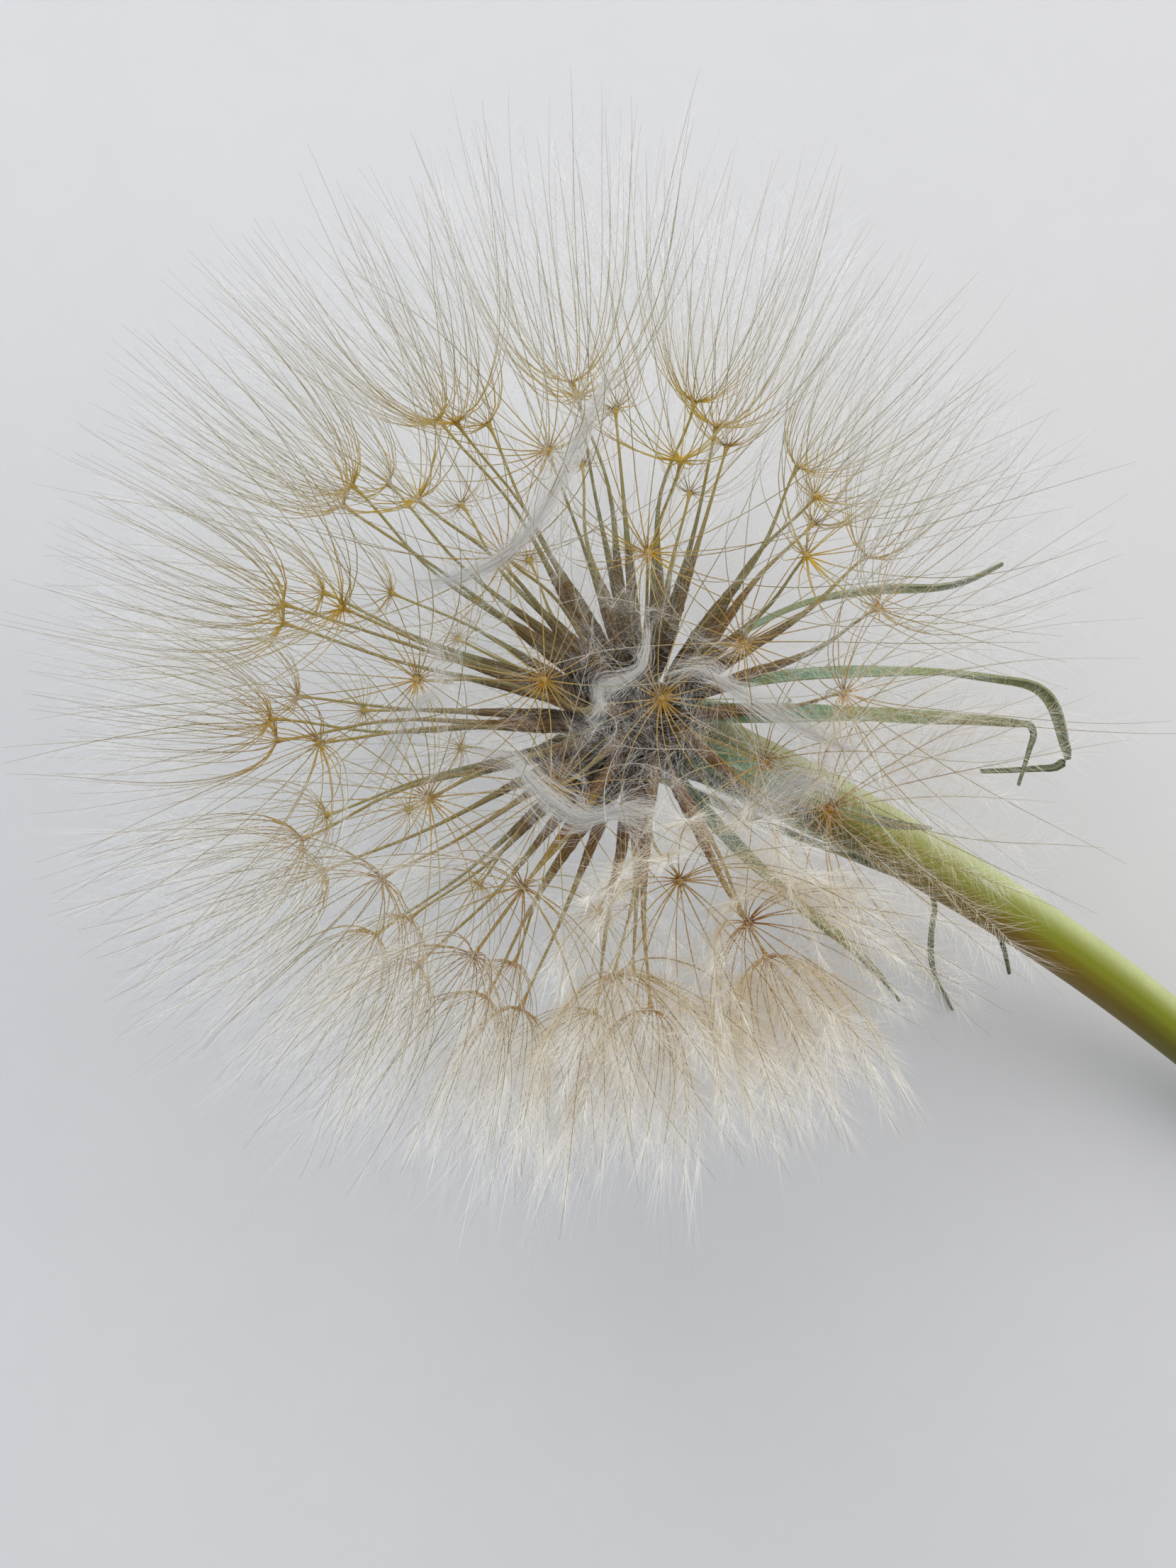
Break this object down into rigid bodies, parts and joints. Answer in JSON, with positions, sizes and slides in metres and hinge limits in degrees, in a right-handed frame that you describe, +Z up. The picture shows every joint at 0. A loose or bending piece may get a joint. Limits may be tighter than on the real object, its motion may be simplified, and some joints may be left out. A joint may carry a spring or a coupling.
{
  "type": "goat's-beard seed head",
  "caption": "Ball-shaped seed head of a large dandelion-like flower, laid on its side, with feathered parachutes round a receptacle, narrow bent-back bracts and a cut stem.",
  "frame": {"origin": "middle of the footprint's box, on the surface that the plant lies on", "axes": "+X from the head along the stem to its cut end, +Z up"},
  "size_m": [0.1646, 0.1058, 0.1003],
  "materials": {
    "stem": "smooth green stem, olive to amber, faintly ribbed",
    "bract": "dull grey-green leaf, drying to straw at the tip",
    "receptacle": "pitted dry flesh",
    "seed": "rough brown achene, straw beak and bristles, white translucent plumes"
  },
  "bodies": {
    "root": {"bract_1": "bract", "bract_2": "bract", "bract_3": "bract", "bract_4": "bract", "bract_5": "bract", "bract_6": "bract", "bract_7": "bract", "bract_8": "bract", "receptacle": "receptacle", "seed_01": "seed", "seed_02": "seed", "seed_04": "seed", "seed_05": "seed", "seed_07": "seed", "seed_08": "seed", "seed_10": "seed", "seed_11": "seed", "seed_13": "seed", "seed_14": "seed", "seed_16": "seed", "seed_17": "seed", "seed_19": "seed", "seed_20": "seed", "seed_22": "seed", "seed_23": "seed", "seed_25": "seed", "seed_26": "seed", "seed_28": "seed", "seed_29": "seed", "seed_31": "seed", "seed_32": "seed", "seed_34": "seed", "seed_35": "seed", "seed_37": "seed", "seed_38": "seed", "seed_40": "seed", "seed_41": "seed", "seed_43": "seed", "seed_44": "seed", "seed_46": "seed", "seed_47": "seed", "seed_49": "seed", "seed_50": "seed", "seed_52": "seed", "seed_53": "seed", "seed_55": "seed", "seed_56": "seed", "seed_58": "seed", "seed_59": "seed", "seed_61": "seed", "seed_62": "seed", "seed_64": "seed", "seed_65": "seed", "seed_67": "seed", "seed_68": "seed", "seed_70": "seed", "seed_71": "seed", "seed_73": "seed", "seed_74": "seed", "stem": "stem"}
  },
  "joints": []
}
